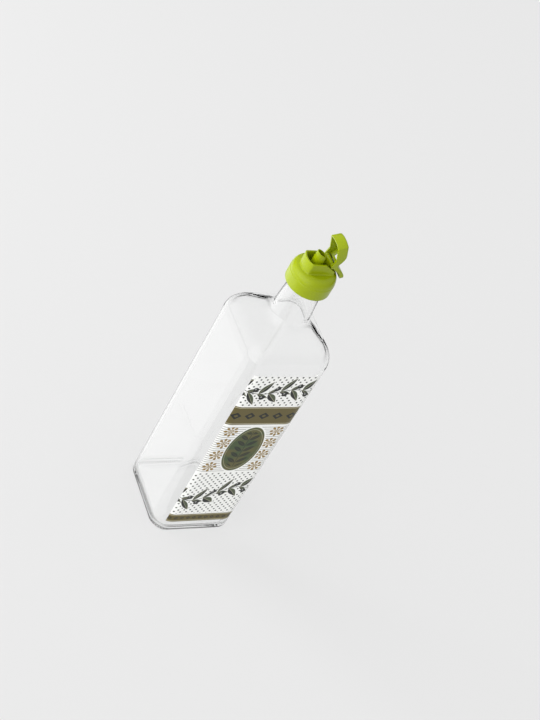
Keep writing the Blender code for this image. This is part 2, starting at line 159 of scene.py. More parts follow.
class DispenserPrint(PropertyGroup):
    half: length("Half width", 30.0, "Half of the panel's width, measured straight across")
    low: length("Lower edge", 14.0, "Height of the panel's lower edge")
    high: length("Upper edge", 205.2, "Height of the panel's upper edge")
    film: length("Film", 0.06, "Thickness of the paint")
    ground: tint("Ground", (0.93, 0.935, 0.91), "White ground")
    dark: tint("Dark leaf", (0.022, 0.024, 0.022), "Dark grey of leaves, dots and stripes")
    leaf: tint("Leaf", (0.085, 0.105, 0.060), "Grey green inside a leaf")
    olive: tint("Band", (0.125, 0.102, 0.036), "Olive brown of the bands")
    green: tint("Field", (0.062, 0.092, 0.040), "Green of the middle field")
    moss: tint("Field shade", (0.115, 0.108, 0.040), "Olive shade in the middle field")
    cream: tint("Cream", (0.66, 0.62, 0.45), "Cream lines")
    gold: tint("Gold", (0.28, 0.185, 0.055), "Gold brown of the rosettes")


class DispenserStopper(PropertyGroup):
    flange: length("Flange radius", 13.9, "Radius of the flange")
    thick: length("Flange", 1.8, "Thickness of the flange")
    stem: length("Stem radius", 10.2, "Radius of the stem between its ribs")
    rib: length("Rib radius", 11.15, "Radius of the ribs in the mouth")
    recess: length("Recess radius", 8.3, "Radius of the round recess")
    depth: length("Recess depth", 4.5, "Depth of the recess")
    long: length("Stem length", 13.0, "Length of the stem below the flange")
    ribs: IntProperty(name="Ribs", description="Ribs round the stem", default=3, min=1)
    colour: tint("Rubber", (0.0025, 0.0025, 0.0025), "Black rubber")


class DispenserCap(PropertyGroup):
    foot: length("Foot", CAP_LOW.z / MM, "Height of the skirt's lower edge")
    skirt: length("Skirt radius", CAP_HIGH.x / MM, "Radius of the skirt")
    skirt_height: length("Skirt height", 10.2, "Height of the straight skirt")
    wall: length("Skirt wall", 1.5, "Thickness of the skirt")
    dome_top: length("Dome top", 17.6, "Height of the floor inside the collar")
    dome_radius: length("Dome top radius", 14.0, "Radius at which the dome meets its flat top")
    ceiling: length("Ceiling", 16.2, "Height of the inside ceiling")
    collar: length("Collar radius", 13.5, "Radius of the collar")
    flat: length("Collar flat", 8.1, "Distance of the collar's flats from the middle")
    collar_wall: length("Collar wall", 1.4, "Thickness of the collar")
    collar_top: length("Collar top", 27.0, "Height of the collar")
    spout_x: FloatProperty(
        name="Spout place",
        description="Where the spout stands along the pouring direction",
        default=-2.6 * MM,
        unit="LENGTH",
        precision=5,
    )
    spout_foot: length("Spout foot radius", 5.1, "Radius of the spout at its foot")
    spout_rim: length("Spout rim radius", 4.15, "Radius of the spout at its rim")
    spout_top: length("Spout top", 32.3, "Height of the middle of the spout's rim")
    spout_bore: length("Spout bore", 3.1, "Radius of the spout's bore")
    spout_cut: incline("Spout cut", 20, "Slope of the spout's rim")
    colour: tint("Lime", (0.290, 0.365, 0.0005), "Lime green plastic")


class DispenserStage(PropertyGroup):
    floor: length("Floor radius", 2400.0, "Radius at which the pale floor has faded out")
    azimuth: incline("Azimuth", -42.475, "Camera's turn about the bottle, as in the photograph")
    elevation: incline("Elevation", 40.826, "Camera's height above level")
    roll: incline("Roll", 31.557, "How far the picture is turned, so that the bottle leans in it")
    distance: length("Distance", 1236.0, "Camera's distance from its target")
    glow: FloatProperty(
        name="Floor glow",
        description="How much of the floor's light comes up from below it, as on a light table",
        default=0.56,
    )
    colour: tint("Floor", (0.23, 0.23, 0.23), "Pale floor")


# Mesh helpers


def finish_piece(shape, name, material, smooth_angle=None):
    """Closes seams and poles, turns faces outwards and makes the object."""
    bmesh.ops.remove_doubles(shape, verts=shape.verts, dist=0.002 * MM)
    bmesh.ops.dissolve_degenerate(shape, edges=shape.edges, dist=0.001 * MM)
    bmesh.ops.recalc_face_normals(shape, faces=shape.faces)
    mesh = bpy.data.meshes.new(name)
    shape.to_mesh(mesh)
    shape.free()
    mesh.shade_smooth()
    if smooth_angle is not None:
        mesh.set_sharp_from_angle(angle=smooth_angle)
    mesh.materials.append(material)
    piece = bpy.data.objects.new(name, mesh)
    bpy.context.scene.collection.objects.link(piece)
    return piece


def next_ring(shape, ring):
    """Extrudes a closed ring of points and returns the new points in the same order."""
    edges = [shape.edges.get((a, b)) for a, b in zip(ring, ring[1:] + ring[:1])]
    made = bmesh.ops.extrude_edge_only(shape, edges=edges)["geom"]
    fresh = {part for part in made if isinstance(part, bmesh.types.BMVert)}
    following = []
    for vert in ring:
        sides = (edge.other_vert(vert) for edge in vert.link_edges)
        following.append(next(other for other in sides if other in fresh))
    return following


def loft(shape, sections, place, points):
    """Extrudes one circle of points through every section; place(section, i) puts point i."""
    circle = bmesh.ops.create_circle(shape, cap_ends=False, radius=1.0, segments=points)
    ring = circle["verts"]
    for number, section in enumerate(sections):
        if number:
            ring = next_ring(shape, ring)
        for i, vert in enumerate(ring):
            vert.co = place(section, i)


def arc(centre, radius, start, end, steps):
    """Points on an arc, angles in degrees, both ends included."""
    angles = (math.radians(start + (end - start) * step / steps) for step in range(steps + 1))
    return [(centre[0] + radius * math.cos(a), centre[1] + radius * math.sin(a)) for a in angles]


def turned(shape, profile, segments):
    """Spins a profile of (radius, height) about z."""
    verts = [shape.verts.new((radius, 0.0, height)) for radius, height in profile]
    edges = [shape.edges.new(pair) for pair in zip(verts, verts[1:])]
    bmesh.ops.spin(
        shape,
        geom=verts + edges,
        axis=(0.0, 0.0, 1.0),
        cent=(0.0, 0.0, 0.0),
        angle=FULL_TURN,
        steps=segments,
        use_merge=True,
    )


# Material helpers


class Signal:
    """A number in a node tree. Python's operators add Math nodes to it."""

    def __init__(self, tree, socket):
        self.tree = tree
        self.socket = socket

    def node(self, operation, *values):
        return maths(self.tree, operation, self, *values)

    def __add__(self, other):
        return self.node("ADD", other)

    def __sub__(self, other):
        return self.node("SUBTRACT", other)

    def __rsub__(self, other):
        return maths(self.tree, "SUBTRACT", other, self)

    def __mul__(self, other):
        return self.node("MULTIPLY", other)

    def __truediv__(self, other):
        return self.node("DIVIDE", other)

    def __lt__(self, other):
        return self.node("LESS_THAN", other)

    def __gt__(self, other):
        return self.node("GREATER_THAN", other)

    def __abs__(self):
        return self.node("ABSOLUTE")

    def scaled(self, factor, shift):
        """This number times factor, plus shift."""
        return self.node("MULTIPLY_ADD", factor, shift)

    def over(self, other):
        """The larger of the two."""
        return self.node("MAXIMUM", other)

    def away(self, other):
        """Distance of the point (self, other) from the origin."""
        return (self * self + other * other).node("SQRT")

    def edge(self, sharpness):
        """0 below zero and 1 above it, with a step as narrow as its sharpness makes it."""
        return maths(self.tree, "MULTIPLY_ADD", self, sharpness, 0.5, clamp=True)


def new_material(name, colour, roughness):
    """A material with one Principled shader, and that shader."""
    made = bpy.data.materials.new(name)
    made.use_nodes = True
    shader = made.node_tree.nodes["Principled BSDF"]
    shader.inputs["Base Color"].default_value = (*colour, 1.0)
    shader.inputs["Roughness"].default_value = roughness
    made.diffuse_color = (*colour, 1.0)
    return made, shader


def feed(tree, socket, value):
    """Links a socket to a signal or another socket, or sets its value."""
    if isinstance(value, Signal):
        value = value.socket
    if isinstance(value, bpy.types.NodeSocket):
        tree.links.new(value, socket)
    else:
        socket.default_value = value


def maths(tree, operation, *values, clamp=False):
    """One Math node; its values are numbers, sockets or signals."""
    node = tree.nodes.new("ShaderNodeMath")
    node.operation = operation
    node.use_clamp = clamp
    for socket, value in zip(node.inputs, values):
        feed(tree, socket, value)
    return Signal(tree, node.outputs[0])


def blend_colour(tree, mask, under, over):
    """over where the mask is 1, under where it is 0."""
    node = tree.nodes.new("ShaderNodeMix")
    node.data_type = "RGBA"
    feed(tree, node.inputs[0], mask)
    feed(tree, node.inputs[6], under)
    feed(tree, node.inputs[7], over)
    return node.outputs[2]


def object_millimetres(tree):
    """Object coordinates in millimetres."""
    coordinates = tree.nodes.new("ShaderNodeTexCoord")
    mapping = tree.nodes.new("ShaderNodeMapping")
    mapping.inputs["Scale"].default_value = (1 / MM,) * 3
    tree.links.new(coordinates.outputs["Object"], mapping.inputs["Vector"])
    return mapping.outputs["Vector"]


def components(tree, vector):
    """The three numbers of a vector."""
    split = tree.nodes.new("ShaderNodeSeparateXYZ")
    tree.links.new(vector, split.inputs[0])
    return [Signal(tree, socket) for socket in split.outputs]


def bumped(tree, height, distance):
    """The normal of a surface with this height on it."""
    bump = tree.nodes.new("ShaderNodeBump")
    bump.inputs["Strength"].default_value = 1.0
    bump.inputs["Distance"].default_value = distance
    feed(tree, bump.inputs["Height"], height)
    return bump.outputs["Normal"]


def noise(tree, vector, scale, detail):
    node = tree.nodes.new("ShaderNodeTexNoise")
    feed(tree, node.inputs["Scale"], scale)
    node.inputs["Detail"].default_value = detail
    tree.links.new(vector, node.inputs["Vector"])
    return Signal(tree, node.outputs["Fac"])


def ramp(tree, value, low, high):
    """0 below low, 1 above high, smooth between."""
    node = tree.nodes.new("ShaderNodeMapRange")
    node.interpolation_type = "SMOOTHSTEP"
    node.inputs["From Min"].default_value = low
    node.inputs["From Max"].default_value = high
    feed(tree, node.inputs["Value"], value)
    return Signal(tree, node.outputs["Result"])


def new_group(name, inputs, outputs):
    """A node group, and its inputs as signals. It puts out numbers and at most one normal."""
    group = bpy.data.node_groups.new(name, "ShaderNodeTree")
    for label, default in inputs.items():
        socket = group.interface.new_socket(name=label, in_out="INPUT", socket_type="NodeSocketFloat")
        socket.default_value = default
    for label in outputs:
        kind = "NodeSocketVector" if label == "Normal" else "NodeSocketFloat"
        group.interface.new_socket(name=label, in_out="OUTPUT", socket_type=kind)
    entry = group.nodes.new("NodeGroupInput")
    return group, {label: Signal(group, entry.outputs[label]) for label in inputs}


def put_out(group, **values):
    """Links a group's results to its output node."""
    leave = group.nodes.new("NodeGroupOutput")
    for label, value in values.items():
        feed(group, leave.inputs[label], value)
    return group


def place_group(tree, group, **values):
    """Adds a group to a tree and returns its results as signals."""
    node = tree.nodes.new("ShaderNodeGroup")
    node.node_tree = group
    for label, value in values.items():
        feed(tree, node.inputs[label.replace("_", " ")], value)
    return {socket.name: Signal(tree, socket) for socket in node.outputs}


def moulded_surface():
    """Group: the faint unevenness of a moulded surface, as a tone mask, a roughness and a normal."""
    name = "moulded surface"
    if name in bpy.data.node_groups:
        return bpy.data.node_groups[name]
    group, given = new_group(
        name,
        {"Fine": 1.5, "Broad": 0.12, "Rough low": 0.3, "Rough high": 0.4, "Relief": 0.02},
        ("Tone", "Roughness", "Normal"),
    )
    vector = object_millimetres(group)
    fine = noise(group, vector, given["Fine"], 2.0)
    broad = noise(group, vector, given["Broad"], 2.0)
    spread = group.nodes.new("ShaderNodeMapRange")
    feed(group, spread.inputs["Value"], fine)
    feed(group, spread.inputs["To Min"], given["Rough low"])
    feed(group, spread.inputs["To Max"], given["Rough high"])
    normal = bumped(group, fine * given["Relief"], MM)
    return put_out(group, Tone=broad, Roughness=spread.outputs["Result"], Normal=normal)


def see_through(tree, shader, mask, colour):
    """Lets rays pass the surface where the mask is 1, tinted by a colour."""
    passing = tree.nodes.new("ShaderNodeBsdfTransparent")
    feed(tree, passing.inputs["Color"], colour)
    mix = tree.nodes.new("ShaderNodeMixShader")
    feed(tree, mix.inputs[0], mask)
    tree.links.new(shader.outputs[0], mix.inputs[1])
    tree.links.new(passing.outputs[0], mix.inputs[2])
    tree.links.new(mix.outputs[0], tree.nodes["Material Output"].inputs["Surface"])


def two_tone(tree, shader, tone, first, second):
    """Base colour that drifts from the first colour to the second with the tone."""
    feed(tree, shader.inputs["Base Color"], blend_colour(tree, tone, (*first, 1.0), (*second, 1.0)))


def dress(tree, shader, bumpy, **values):
    """Gives a shader the moulded surface's roughness and, where it is bumpy, its normal."""
    surface = place_group(tree, moulded_surface(), **values)
    feed(tree, shader.inputs["Roughness"], surface["Roughness"])
    if bumpy:
        feed(tree, shader.inputs["Normal"], surface["Normal"])
    return surface["Tone"]


# Glass


def ring_angles(glass):
    """Polar angles of points at equal steps round the body, so that the corners get their share."""
    straight = glass.half - glass.corner
    quarter = 2 * straight + glass.corner * math.pi / 2
    per_quarter = glass.points // 4
    angles = []
    for i in range(per_quarter):
        along = quarter * i / per_quarter
        if along <= straight:
            point = (glass.half, along)
        elif along < quarter - straight:
            turn = (along - straight) / glass.corner
            point = (
                straight + glass.corner * math.cos(turn),
                straight + glass.corner * math.sin(turn),
            )
        else:
            point = (quarter - along, glass.half)
        angles.append(math.atan2(point[1], point[0]))
    return [angle + quarter_turn * math.pi / 2 for quarter_turn in range(4) for angle in angles]


def square_radius(half, corner, angle):
    """Distance from the axis to a square with round corners."""
    angle %= math.pi / 2
    angle = min(angle, math.pi / 2 - angle)
    straight = half - corner
    if half * math.tan(angle) <= straight:
        return half / math.cos(angle)
    along = straight * (math.cos(angle) + math.sin(angle))
    return along + math.sqrt(max(along * along - 2 * straight * straight + corner * corner, 0.0))


def shoulder_sections(glass, wall, steps):
    """(half width, corner, height) from the wall up to the neck, wall inside the outer surface."""
    lean = math.pi / 2 - glass.slope
    body_centre = (glass.half - glass.shoulder_arc, glass.shoulder)
    end_x = body_centre[0] + glass.shoulder_arc * math.cos(lean)
    end_z = body_centre[1] + glass.shoulder_arc * math.sin(lean)
    drop = glass.neck_arc * (1 - math.cos(lean))
    slope_top = end_z + (end_x - glass.neck_foot - drop) * math.tan(glass.slope)
    neck_centre = (glass.neck_foot + glass.neck_arc, slope_top + glass.neck_arc * math.sin(lean))
    stations = []
    for step in range(steps + 1):
        turn = lean * step / steps
        stations.append((body_centre, glass.shoulder_arc, math.cos(turn), math.sin(turn), -1))
    for step in range(steps + 1):
        turn = lean * (1 - step / steps)
        stations.append((neck_centre, glass.neck_arc, -math.cos(turn), -math.sin(turn), 1))
    sections = []
    for centre, radius, across, up, side in stations:
        outer = centre[0] + radius * across
        share = (outer - glass.neck_foot) / (glass.half - glass.neck_foot)
        corner = glass.neck_foot + (glass.corner - glass.neck_foot) * share
        corner -= 4 * glass.pinch * share * (1 - share)
        reach = radius + side * wall
        sections.append((centre[0] + reach * across, corner - wall, centre[1] + reach * up, 0.0))
    return sections


def base_sections(glass):
    """Push-up, knurled bearing ring and heel, from the middle of the underside outwards."""
    shape_ratio = glass.corner / glass.half
    sections = []
    for half in (0.0005 * MM, 0.5 * glass.push_up_half, 0.9 * glass.push_up_half):
        sections.append((half, half * shape_ratio, glass.push_up, 0.0))
    for share in (0.0, 0.2, 0.4, 0.6, 0.8, 0.93, 1.0):
        half = glass.push_up_half + (glass.bearing_inner - glass.push_up_half) * share
        sections.append((half, half * shape_ratio, glass.push_up * (1 - share ** 2), 0.0))
    cut = glass.corner - glass.half
    width = glass.half - glass.bearing_outer
    start, stop = glass.bearing_inner + 0.4 * MM, glass.bearing_outer - 0.1 * MM
    for half, knurl in ((start, 0.0), (start + 0.3 * MM, 1.0), (stop, 1.0)):
        sections.append((half, cut + half, 0.0, knurl))
    for degrees, knurl in ((15, 1.0), (30, 0.9), (45, 0.6), (60, 0.3), (75, 0.0), (90, 0.0)):
        turn = math.radians(degrees)
        half = glass.bearing_outer + width * math.sin(turn)
        sections.append((half, cut + half, glass.heel * (1 - math.cos(turn)), knurl))
    return [(half, corner, height, knurl * glass.tick) for half, corner, height, knurl in sections]


def finish_sections(glass):
    """Neck, finish with its bead, round lip and bore, as (radius, radius, height)."""
    top = glass.height
    outline = [
        (glass.neck_foot - 0.25 * MM, NECK_FOOT),
        (glass.neck_top + 0.15 * MM, glass.neck_end - 2.0 * MM),
        (glass.neck_top, glass.neck_end),
        (glass.neck_top + 0.25 * MM, glass.neck_end + 0.5 * MM),
        (glass.finish_foot - 0.5 * MM, glass.neck_end + 1.1 * MM),
        (glass.finish_foot - 0.1 * MM, glass.neck_end + 1.8 * MM),
        (glass.finish_foot, glass.neck_end + 2.6 * MM),
        (glass.finish - 0.55 * MM, top - 10.0 * MM),
        (glass.finish - 0.45 * MM, top - 8.6 * MM),
        (glass.finish - 0.05 * MM, top - 7.6 * MM),
        (glass.finish, top - 6.6 * MM),
        (glass.finish, top - 4.6 * MM),
        (glass.finish - 0.35 * MM, top - 3.7 * MM),
        (glass.finish - 0.35 * MM, top - 3.1 * MM),
        (glass.finish - 0.05 * MM, top - 2.4 * MM),
    ]
    outline += arc((glass.finish - 1.5 * MM, top - 1.5 * MM), 1.5 * MM, 0, 90, 7)
    outline += arc((glass.bore + 1.1 * MM, top - 1.1 * MM), 1.1 * MM, 90, 180, 6)
    outline += [
        (glass.bore, top - 3.0 * MM),
        (glass.bore, top - glass.bore_length + 2.0 * MM),
        (glass.bore + 0.1 * MM, top - glass.bore_length - 1.0 * MM),
        (glass.neck_foot - glass.wall - 0.2 * MM, INNER_NECK_FOOT),
    ]
    return [(radius, radius, height, 0.0) for radius, height in outline]


def floor_sections(glass):
    """Inner wall's round foot and the inner floor, inwards to the middle."""
    inner = glass.half - glass.wall
    corner = glass.corner - glass.wall
    sections = [(inner, corner, glass.floor + glass.inner_heel + 3.0 * MM, 0.0)]
    for degrees in (0, 15, 30, 45, 60, 75, 90):
        turn = math.radians(degrees)
        half = inner - glass.inner_heel * (1 - math.cos(turn))
        height = glass.floor + glass.inner_heel * (1 - math.sin(turn))
        sections.append((half, max(corner - inner + half, 0.3 * half), height, 0.0))
    edge = inner - glass.inner_heel
    for share in (0.25, 0.5, 0.75, 1.0):
        half = edge + (glass.push_up_half - edge) * share
        rise = glass.floor_rise * math.sin(share * math.pi / 2)
        corner_now = half * (0.3 + (glass.corner / glass.half - 0.3) * share)
        sections.append((half, corner_now, glass.floor + rise, 0.0))
    for share in (0.8, 0.4, 0.00003):
        half = glass.push_up_half * share
        sections.append((half, half * glass.corner / glass.half, glass.floor + glass.floor_rise, 0.0))
    return sections


def bottle_glass(glass):
    """Clear glass with faint waves, which lets the lamps' light and long-trapped rays through."""
    name = "bottle_glass"
    if name in bpy.data.materials:
        return bpy.data.materials[name]
    made, shader = new_material(name, glass.colour, 0.0)
    tree = made.node_tree
    shader.inputs["Transmission Weight"].default_value = 1.0
    shader.inputs["IOR"].default_value = 1.5
    vector = object_millimetres(tree)
    stretch = tree.nodes.new("ShaderNodeMapping")
    stretch.inputs["Scale"].default_value = (1.0, 1.0, 0.25)
    tree.links.new(vector, stretch.inputs["Vector"])
    waves = noise(tree, stretch.outputs["Vector"], 0.045, 1.0)
    feed(tree, shader.inputs["Normal"], bumped(tree, waves, 0.04 * MM))
    # Shadow rays pass, and so do rays that have met many surfaces, so that the thick base isn't black
    path = tree.nodes.new("ShaderNodeLightPath")
    rays = {socket.name: Signal(tree, socket) for socket in path.outputs}
    shadow = rays["Is Shadow Ray"]
    dim = blend_colour(tree, shadow, (0.8, 0.8, 0.8, 1.0), (0.96, 0.965, 0.96, 1.0))
    see_through(tree, shader, shadow.over(rays["Ray Depth"] > MANY_SURFACES), dim)
    return made


class DISPENSER_OT_glass(Operator):
    """Builds the square glass bottle in one skin, inside and out"""

    bl_idname = "dispenser.glass"
    bl_label = "Glass Bottle"

    def execute(self, context):
        glass = context.scene.dispenser_glass
        angles = ring_angles(glass)
        sections = base_sections(glass)
        sections.append((glass.half, glass.corner, glass.heel + 3.0 * MM, 0.0))
        sections.append((glass.half, glass.corner, glass.shoulder - 3.0 * MM, 0.0))
        sections += shoulder_sections(glass, 0.0, 9)
        sections += finish_sections(glass)
        inside = shoulder_sections(glass, glass.wall, 9)
        inside.insert(0, (glass.half - glass.wall, glass.corner - glass.wall, INNER_WALL_END, 0.0))
        sections += reversed(inside)
        sections += floor_sections(glass)
        directions = [(math.cos(angle), math.sin(angle)) for angle in angles]

        def place(section, i):
            half, corner, height, knurl = section
            distance = square_radius(half, min(corner, half), angles[i])
            lift = knurl * (0.5 - 0.5 * math.cos(i * math.pi / 2))
            across, along = directions[i]
            return (distance * across, distance * along, height + lift)

        shape = bmesh.new()
        loft(shape, sections, place, len(angles))
        bottle = finish_piece(shape, "glass_body", bottle_glass(glass))
        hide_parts("glass_bottle")
        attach(bottle, "bottle")
        return {"FINISHED"}


class DISPENSER_OT_neck_mark(Operator):
    """Adds the small raised half-moon on the finish"""

    bl_idname = "dispenser.neck_mark"
    bl_label = "Neck Mark"

    def execute(self, context):
        glass = context.scene.dispenser_glass
        radius = 4.3 * MM
        height = glass.height - 3.2 * MM
        bead = 0.45 * MM
        around = 14
        steps = 28
        shape = bmesh.new()
        ring = bmesh.ops.create_circle(shape, cap_ends=True, radius=bead, segments=around)["verts"]
        stations = [math.radians(180 + 180 * step / steps) for step in range(steps + 1)]
        for number, turn in enumerate(stations):
            if number:
                ring = next_ring(shape, ring)
            fade = math.sin(math.pi * min(max(number / steps, 0.04), 0.96)) ** 0.4
            for i, vert in enumerate(ring):
                angle = FULL_TURN * i / around
                reach = radius + bead * fade * math.cos(angle)
                depth = glass.finish - 0.35 * MM + bead * fade * math.sin(angle)
                along = MARK_TURN + reach * math.cos(turn) / depth
                vert.co = (
                    depth * math.cos(along),
                    depth * math.sin(along),
                    height + reach * math.sin(turn),
                )
        shape.faces.new(ring)
        mark = finish_piece(shape, "neck_mark", bottle_glass(glass))
        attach(mark, "bottle")
        return {"FINISHED"}


# Printed panel


def leaf_group():
    """Group: a pointed leaf, as its mask, its vein, its upper half and its near surroundings."""
    group, given = new_group(
        "leaf",
        {"X": 0.0, "Z": 0.0, "Centre X": 0.0, "Centre Z": 0.0, "Turn": 0.0, "Length": 6.0, "Width": 2.0},
        ("Mask", "Vein", "Half", "Near"),
    )
    x = given["X"] - given["Centre X"]
    z = given["Z"] - given["Centre Z"]
    cosine = given["Turn"].node("COSINE")
    sine = given["Turn"].node("SINE")
    along = x * cosine + z * sine
    across = z * cosine - x * sine
    share = along / given["Length"]
    reach = (1.0 - share * share) * share.scaled(-0.3, 1.0) * given["Width"]
    inside = reach - abs(across)
    sharpness = 5.0
    mask = inside.edge(sharpness) * (abs(share) < 1.0)
    near = (inside + 0.9).edge(sharpness) * (abs(share) < 1.12)
    vein = (1.0 - abs(across) * 4.0).over(0.0) * mask
    return put_out(group, Mask=mask, Vein=vein, Half=across.edge(3.0), Near=near)


def berry_group():
    """Group: a round berry, as its mask and its small highlight."""
    group, given = new_group(
        "berry",
        {"X": 0.0, "Z": 0.0, "Centre X": 0.0, "Centre Z": 0.0, "Radius": 2.0},
        ("Mask", "Shine"),
    )

    def disc(shift, size):
        x = given["X"] - given["Centre X"] + shift
        z = given["Z"] - given["Centre Z"] - shift
        return (given["Radius"] * size - x.away(z)).edge(5.0)

    return put_out(group, Mask=disc(0.0, 1.0), Shine=disc(0.7, 0.28))


def band_mask(z, low, high):
    """1 between two heights."""
    softness = 8.0
    return (z - low).edge(softness) * (high - z).edge(softness)


def repeated(value, pitch, shift=0.0):
    """A coordinate that repeats every pitch, from minus half a pitch to plus half."""
    moved = value + (pitch / 2 - shift + 1000 * pitch)
    return moved.node("MODULO", pitch) - pitch / 2


def dots_mask(x, z, pitch, radius):
    """Round dots in staggered rows."""
    rows = []
    for shift in (0.0, pitch / 2):
        distance = repeated(x, pitch, shift).away(repeated(z, pitch, shift))
        rows.append((radius - distance).edge(5.0))
    return rows[0].over(rows[1])


# Leaves of one repeat of the vine: (side, place along the repeat, turn in degrees, half length, half width)
VINE_LEAVES = (
    (1, 0.08, 60, 8.4, 2.7),
    (1, 0.50, 30, 6.4, 1.9),
    (-1, 0.56, 52, 8.4, 2.7),
    (-1, 0.03, 26, 6.2, 1.8),
)
# Its berries: (side, place along the repeat, distance from the stem, radius)
VINE_BERRIES = ((1, 0.87, 4.2, 2.6), (-1, 0.34, 4.4, 2.6))
VINE_PITCH = 19.0


def vine(tree, x, z, height, swing, wave, leaf, berry):
    """A running vine: leaves and berries in turn above and below a waving stem."""
    bend = (x * (FULL_TURN / wave)).node("SINE") * swing
    level = z - height - bend
    off_stem = abs(level)
    stem = maths(tree, "SUBTRACT", 1.3, off_stem * 2.4, clamp=True)
    parts = {"mask": stem, "near": stem, "vein": 0.0, "half": 0.0, "berry": 0.0, "shine": 0.0}

    def widen(key, value):
        parts[key] = maths(tree, "MAXIMUM", parts[key], value)

    for side, share, degrees, half_long, half_wide in VINE_LEAVES:
        turn = math.radians(degrees)
        out = place_group(
            tree,
            leaf,
            X=repeated(x, VINE_PITCH, share * VINE_PITCH + half_long * math.cos(turn)),
            Z=level,
            Centre_Z=side * half_long * math.sin(turn),
            Turn=side * turn,
            Length=half_long,
            Width=half_wide,
        )
        for key in ("mask", "near", "vein"):
            widen(key, out[key.capitalize()])
        widen("half", out["Mask"] * out["Half"])
    for side, share, away, radius in VINE_BERRIES:
        place = repeated(x, VINE_PITCH, share * VINE_PITCH)
        out = place_group(tree, berry, X=place, Z=level, Centre_Z=side * away, Radius=radius)
        widen("berry", out["Mask"])
        widen("near", out["Mask"])
        widen("shine", out["Shine"])
    in_reach = off_stem < 17.0
    return {key: value * in_reach for key, value in parts.items()}


def print_colour(tree, panel):
    """The panel's colour, from fields, bands, dots, stripes, vines and rosettes."""
    vector = object_millimetres(tree)
    x, _, z = components(tree, vector)
    leaf, berry = leaf_group(), berry_group()

    def shade(name):
        return (*getattr(panel, name), 1.0)

    colour = shade("ground")

    def paint(mask, name):
        nonlocal colour
        colour = blend_colour(tree, mask, colour, shade(name) if isinstance(name, str) else name)

    # Where the vines run, with dots behind them, and stripes in the middle
    high_vine = vine(tree, x, z, 187.0, 2.6, 58.0, leaf, berry)
    low_vine = vine(tree, x, z, 53.0, 8.5, 76.0, leaf, berry)
    leafy = maths(tree, "ADD", band_mask(z, 169.6, 205.5), band_mask(z, 25.6, 82.0), clamp=True)
    both = {key: high_vine[key].over(low_vine[key]) * leafy for key in high_vine}
    dotted = dots_mask(x, z, 5.6, 0.82) * leafy * (1.0 - both["near"])
    stripes = maths(tree, "SUBTRACT", 1.35, abs(repeated(z, 2.5)) * 4.0, clamp=True)
    paint(dotted.over(stripes * band_mask(z, 83.0, 144.6)), "dark")

    # Rosettes in two upright rows over the stripes
    rose_x = repeated(x, 42.0, 21.0)
    rose_z = repeated(z, 15.4, 91.0)
    distance = rose_x.away(rose_z)
    petals = (rose_z.node("ARCTAN2", rose_x) * 8.0).node("COSINE")
    rose = (petals.scaled(0.9, 5.6) - distance).edge(4.0)
    ring_gap = maths(tree, "SUBTRACT", 1.0, abs(distance - 3.1) * 2.6, clamp=True)
    rose_ink = rose * (petals > -0.55) * (1.0 - ring_gap)
    rose_zone = band_mask(z, 84.0, 143.0)
    paint(rose * rose_zone, "ground")
    paint(rose_ink * rose_zone, "gold")

    # Green oval with a pale border, and a dark spray in it
    oval = (x / 15.6).away((z - 113.8) / 28.6)
    paint((1.06 - oval).edge(60.0), "ground")
    cloud = ramp(tree, noise(tree, vector, 0.09, 4.0), 0.35, 0.65)
    paint((1.0 - oval).edge(60.0), blend_colour(tree, cloud, shade("green"), shade("moss")))
    inner_line = maths(tree, "SUBTRACT", 1.0, abs(oval - 0.9) * 55.0, clamp=True)
    paint(inner_line * 0.55, "cream")
    side = abs(x)
    spray = place_group(
        tree,
        leaf,
        X=side,
        Z=repeated(z, 7.4, 114.0),
        Centre_X=5.2,
        Centre_Z=0.6,
        Turn=math.radians(38),
        Length=6.0,
        Width=1.9,
    )
    stalk = maths(tree, "SUBTRACT", 1.2, side * 2.4, clamp=True)
    outline = spray["Mask"] - spray["Vein"] * 0.8
    paint(outline.over(stalk) * (0.8 - oval).edge(30.0) * 0.85, "dark")

    # The two vines
    leaf_ink = blend_colour(tree, both["half"] * 0.9, shade("dark"), shade("leaf"))
    leaf_ink = blend_colour(tree, both["vein"] * 0.7, leaf_ink, shade("cream"))
    paint(both["mask"], leaf_ink)
    paint(both["berry"], "dark")
    paint(both["shine"] * 0.45, "ground")

    # Bands, with cream lines and a row of lozenges
    for low, high, size in ((146.0, 168.2, 4.2), (14.0, 24.2, 1.9)):
        band = band_mask(z, low, high)
        paint(band, "olive")
        span = abs(repeated(x, size * 3.0)) / (size * 1.15) + abs(z - (low + high) / 2) / size
        lozenge = (1.0 - span).edge(12.0)
        eye = (0.42 - span).edge(12.0)
        paint((lozenge - eye) * band, "dark")
        for edge in (low + 1.3, high - 1.3):
            paint(band_mask(z, edge - 0.28, edge + 0.28) * 0.8, "cream")
    return colour


def printed_paint(panel):
    made, shader = new_material("printed_paint", panel.ground, 0.4)
    tree = made.node_tree
    tree.links.new(print_colour(tree, panel), shader.inputs["Base Color"])
    dress(tree, shader, False, Fine=2.0, Rough_low=0.32, Rough_high=0.46, Relief=0.004)
    shader.inputs["Specular IOR Level"].default_value = 0.2
    return made


